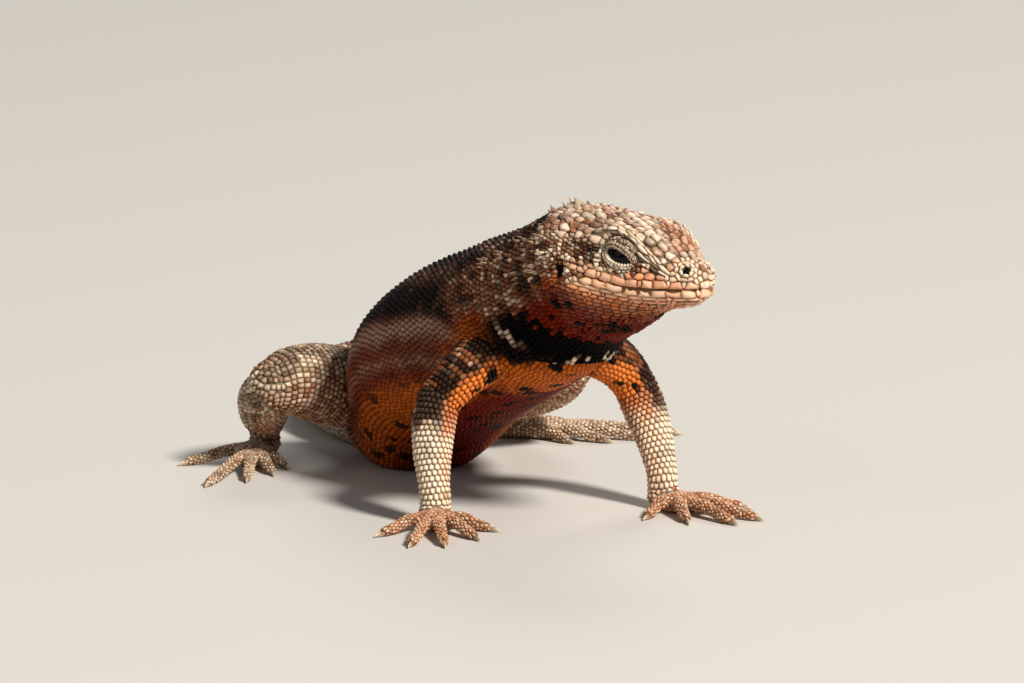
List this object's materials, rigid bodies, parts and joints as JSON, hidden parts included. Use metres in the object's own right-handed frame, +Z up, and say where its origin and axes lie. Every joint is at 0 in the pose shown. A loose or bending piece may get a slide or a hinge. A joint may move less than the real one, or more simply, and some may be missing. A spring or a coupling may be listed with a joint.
{
  "type": "lava lizard",
  "caption": "Still life-size lava lizard propped on straight forelegs, chest raised and head turned to its left, tail laid behind.",
  "frame": {"origin": "on the floor under the pelvis, on the flat of the belly that rests there", "axes": "+X the animal's left, -Y the way its chest points, +Z up"},
  "size_m": [0.0997, 0.1714, 0.0345],
  "materials": {
    "head_skin": "satin scales, tan and grey above, orange and rust at the lips and throat",
    "body_skin": "matt keeled scales, grey-brown with black blotches, orange below",
    "hand_skin": "matt small scales, grey-tan",
    "eye": "wet and glossy, nearly black",
    "claw": "horn, satin"
  },
  "bodies": {
    "root": {"head": "head_skin", "eye_left": "eye", "eye_right": "eye", "neck": "body_skin", "torso": "body_skin", "tail_base": "body_skin", "tail_middle": "body_skin", "tail_tip": "body_skin", "foreleg_left": "body_skin", "foreleg_right": "body_skin", "hand_left": "hand_skin", "hand_right": "hand_skin", "hindleg_left": "body_skin", "hindleg_right": "body_skin", "foot_left": "hand_skin", "foot_right": "hand_skin"}
  },
  "joints": []
}
